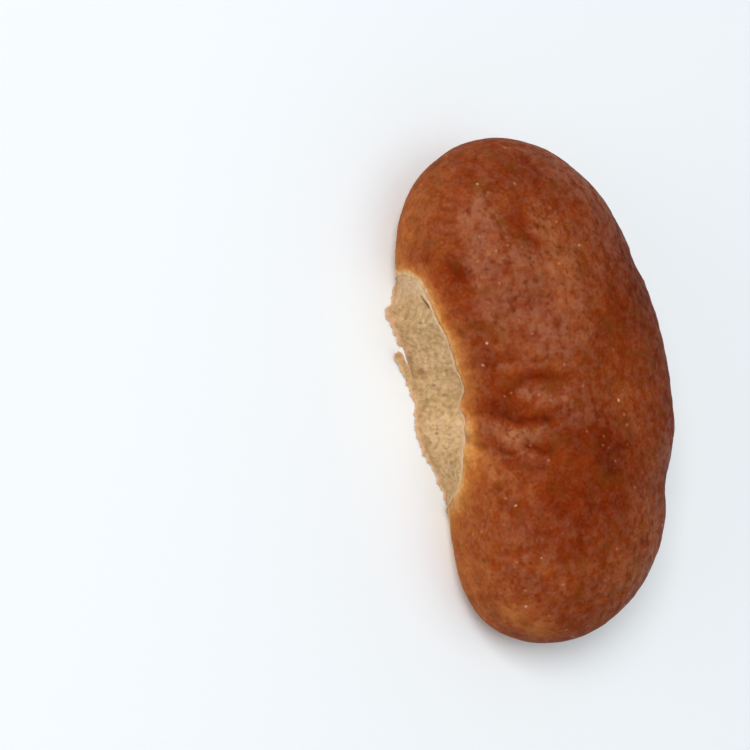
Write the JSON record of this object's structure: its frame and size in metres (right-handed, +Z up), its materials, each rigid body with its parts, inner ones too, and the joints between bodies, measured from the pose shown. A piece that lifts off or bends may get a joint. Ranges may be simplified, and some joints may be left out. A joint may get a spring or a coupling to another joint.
{
  "type": "soft brown roll",
  "caption": "Long soft brown bread roll, bent like a kidney, lying on its flat base; glossy browned crust above, one side torn open to pale crumb.",
  "frame": {"origin": "middle of the roll's outline seen from above, on the plane of its flat base", "axes": "+X along the roll towards its blunter end, +Y away from the torn side, +Z up through the browned crust"},
  "size_m": [0.1476, 0.0786, 0.0484],
  "materials": {
    "browned_crust": "thin baked crust with a satin sheen, mottled red-brown, paler and golden towards the base and the torn edge, with dark bran specks",
    "torn_crumb": "matt, soft, torn bread crumb, pale tan with fine pores, fibres and brown bran flecks"
  },
  "bodies": {
    "root": {"roll": "browned_crust"}
  },
  "joints": []
}
